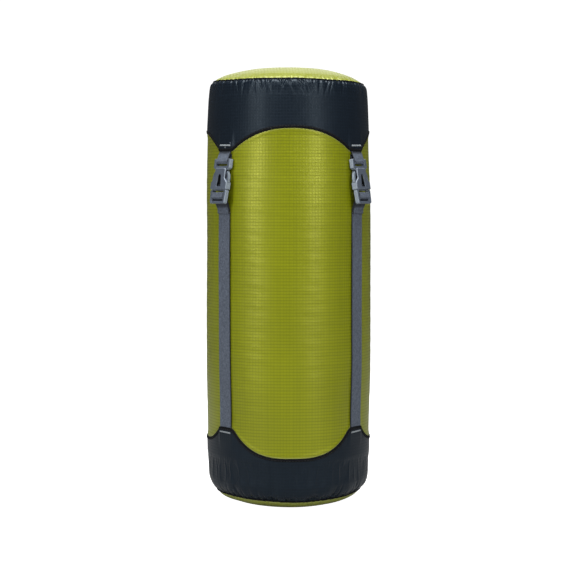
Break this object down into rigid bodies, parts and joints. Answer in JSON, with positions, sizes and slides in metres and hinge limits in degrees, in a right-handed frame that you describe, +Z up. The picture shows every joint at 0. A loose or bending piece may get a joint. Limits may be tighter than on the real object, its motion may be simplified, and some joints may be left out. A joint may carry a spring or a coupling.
{
  "type": "compression sack",
  "caption": "Tall round compression sack: green ripstop bag with dark scalloped end yokes, a lid strapped down by webbing through side-release buckles.",
  "frame": {"origin": "centre of the round base, on the surface the sack stands on", "axes": "+Z up along the sack, front at -Y"},
  "size_m": [0.1702, 0.1702, 0.448],
  "materials": {
    "green_ripstop": "lightly coated ripstop nylon, soft sheen",
    "dark_nylon": "dark coated ripstop nylon, slight gloss",
    "binding": "black woven binding tape, matt",
    "webbing": "ribbed polyester webbing, matt",
    "thread": "light grey bar-tack thread",
    "buckle": "moulded acetal, satin",
    "eyelet": "dull nickel"
  },
  "bodies": {
    "sack": {"base_disc": "green_ripstop", "base_piping": "binding", "base_yoke": "dark_nylon", "base_yoke_binding": "binding", "base_bar_tacks": "thread", "body_tube": "green_ripstop", "body_side_seam": "green_ripstop", "strap_1": "webbing", "strap_2": "webbing", "strap_3": "webbing", "strap_4": "webbing"},
    "mouth": {"neck_collar": "green_ripstop", "drawcord_channel": "green_ripstop", "eyelet_1": "eyelet", "eyelet_2": "eyelet"},
    "lid": {"lid_disc": "green_ripstop", "lid_piping": "binding", "lid_yoke": "dark_nylon", "lid_yoke_binding": "binding", "lid_bar_tacks": "thread", "lid_loop_1": "webbing", "lid_loop_2": "webbing", "lid_loop_3": "webbing", "lid_loop_4": "webbing", "buckle_socket_1": "buckle", "buckle_socket_2": "buckle", "buckle_socket_3": "buckle", "buckle_socket_4": "buckle"},
    "plug_1": {"buckle_plug_1": "buckle", "strap_end_1": "webbing"},
    "arm_left_1": {"latch_arm_left_1": "buckle"},
    "arm_right_1": {"latch_arm_right_1": "buckle"},
    "plug_2": {"buckle_plug_2": "buckle", "strap_end_2": "webbing"},
    "arm_left_2": {"latch_arm_left_2": "buckle"},
    "arm_right_2": {"latch_arm_right_2": "buckle"},
    "plug_3": {"buckle_plug_3": "buckle", "strap_end_3": "webbing"},
    "arm_left_3": {"latch_arm_left_3": "buckle"},
    "arm_right_3": {"latch_arm_right_3": "buckle"},
    "plug_4": {"buckle_plug_4": "buckle", "strap_end_4": "webbing"},
    "arm_left_4": {"latch_arm_left_4": "buckle"},
    "arm_right_4": {"latch_arm_right_4": "buckle"}
  },
  "joints": [
    {"name": "compress", "type": "slide", "parent": "sack", "child": "mouth", "axis": [0, 0, -1], "range_m": [0, 0.19], "deforming": ["body_tube", "body_side_seam", "strap_1", "strap_2", "strap_3", "strap_4"]},
    {"name": "lid_lift", "type": "slide", "parent": "mouth", "child": "lid", "axis": [0, 0, 1], "range_m": [0, 0.25]},
    {"name": "buckle_1_release", "type": "slide", "parent": "mouth", "child": "plug_1", "axis": [-0.1349, -0.1093, -0.9848], "range_m": [0, 0.03], "deforming": ["latch_arm_left_1", "latch_arm_right_1"]},
    {"name": "arm_left_1_squeeze", "type": "hinge", "parent": "plug_1", "child": "arm_left_1", "pos_m": [-0.07609, -0.05145, 0.32326], "axis": [0.7653, 0.6198, -0.1736], "range_deg": [0, 10], "stiffness_Nm_per_rad": 0.02},
    {"name": "arm_right_1_squeeze", "type": "hinge", "parent": "plug_1", "child": "arm_right_1", "pos_m": [-0.06614, -0.06373, 0.32326], "axis": [0.7653, 0.6198, -0.1736], "range_deg": [-10, 0], "stiffness_Nm_per_rad": 0.02},
    {"name": "buckle_2_release", "type": "slide", "parent": "mouth", "child": "plug_2", "axis": [0.1349, -0.1093, -0.9848], "range_m": [0, 0.03], "deforming": ["latch_arm_left_2", "latch_arm_right_2"]},
    {"name": "arm_left_2_squeeze", "type": "hinge", "parent": "plug_2", "child": "arm_left_2", "pos_m": [0.06614, -0.06373, 0.32326], "axis": [-0.7653, 0.6198, -0.1736], "range_deg": [0, 10], "stiffness_Nm_per_rad": 0.02},
    {"name": "arm_right_2_squeeze", "type": "hinge", "parent": "plug_2", "child": "arm_right_2", "pos_m": [0.07609, -0.05145, 0.32326], "axis": [-0.7653, 0.6198, -0.1736], "range_deg": [-10, 0], "stiffness_Nm_per_rad": 0.02},
    {"name": "buckle_3_release", "type": "slide", "parent": "mouth", "child": "plug_3", "axis": [0.1349, 0.1093, -0.9848], "range_m": [0, 0.03], "deforming": ["latch_arm_left_3", "latch_arm_right_3"]},
    {"name": "arm_left_3_squeeze", "type": "hinge", "parent": "plug_3", "child": "arm_left_3", "pos_m": [0.07609, 0.05145, 0.32326], "axis": [-0.7653, -0.6198, -0.1736], "range_deg": [0, 10], "stiffness_Nm_per_rad": 0.02},
    {"name": "arm_right_3_squeeze", "type": "hinge", "parent": "plug_3", "child": "arm_right_3", "pos_m": [0.06614, 0.06373, 0.32326], "axis": [-0.7653, -0.6198, -0.1736], "range_deg": [-10, 0], "stiffness_Nm_per_rad": 0.02},
    {"name": "buckle_4_release", "type": "slide", "parent": "mouth", "child": "plug_4", "axis": [-0.1349, 0.1093, -0.9848], "range_m": [0, 0.03], "deforming": ["latch_arm_left_4", "latch_arm_right_4"]},
    {"name": "arm_left_4_squeeze", "type": "hinge", "parent": "plug_4", "child": "arm_left_4", "pos_m": [-0.06614, 0.06373, 0.32326], "axis": [0.7653, -0.6198, -0.1736], "range_deg": [0, 10], "stiffness_Nm_per_rad": 0.02},
    {"name": "arm_right_4_squeeze", "type": "hinge", "parent": "plug_4", "child": "arm_right_4", "pos_m": [-0.07609, 0.05145, 0.32326], "axis": [0.7653, -0.6198, -0.1736], "range_deg": [-10, 0], "stiffness_Nm_per_rad": 0.02}
  ],
  "couplings": [
    {"joint": "arm_right_1_squeeze", "follows": "arm_left_1_squeeze", "ratio": -1},
    {"joint": "arm_right_2_squeeze", "follows": "arm_left_2_squeeze", "ratio": -1},
    {"joint": "arm_right_3_squeeze", "follows": "arm_left_3_squeeze", "ratio": -1},
    {"joint": "arm_right_4_squeeze", "follows": "arm_left_4_squeeze", "ratio": -1}
  ]
}
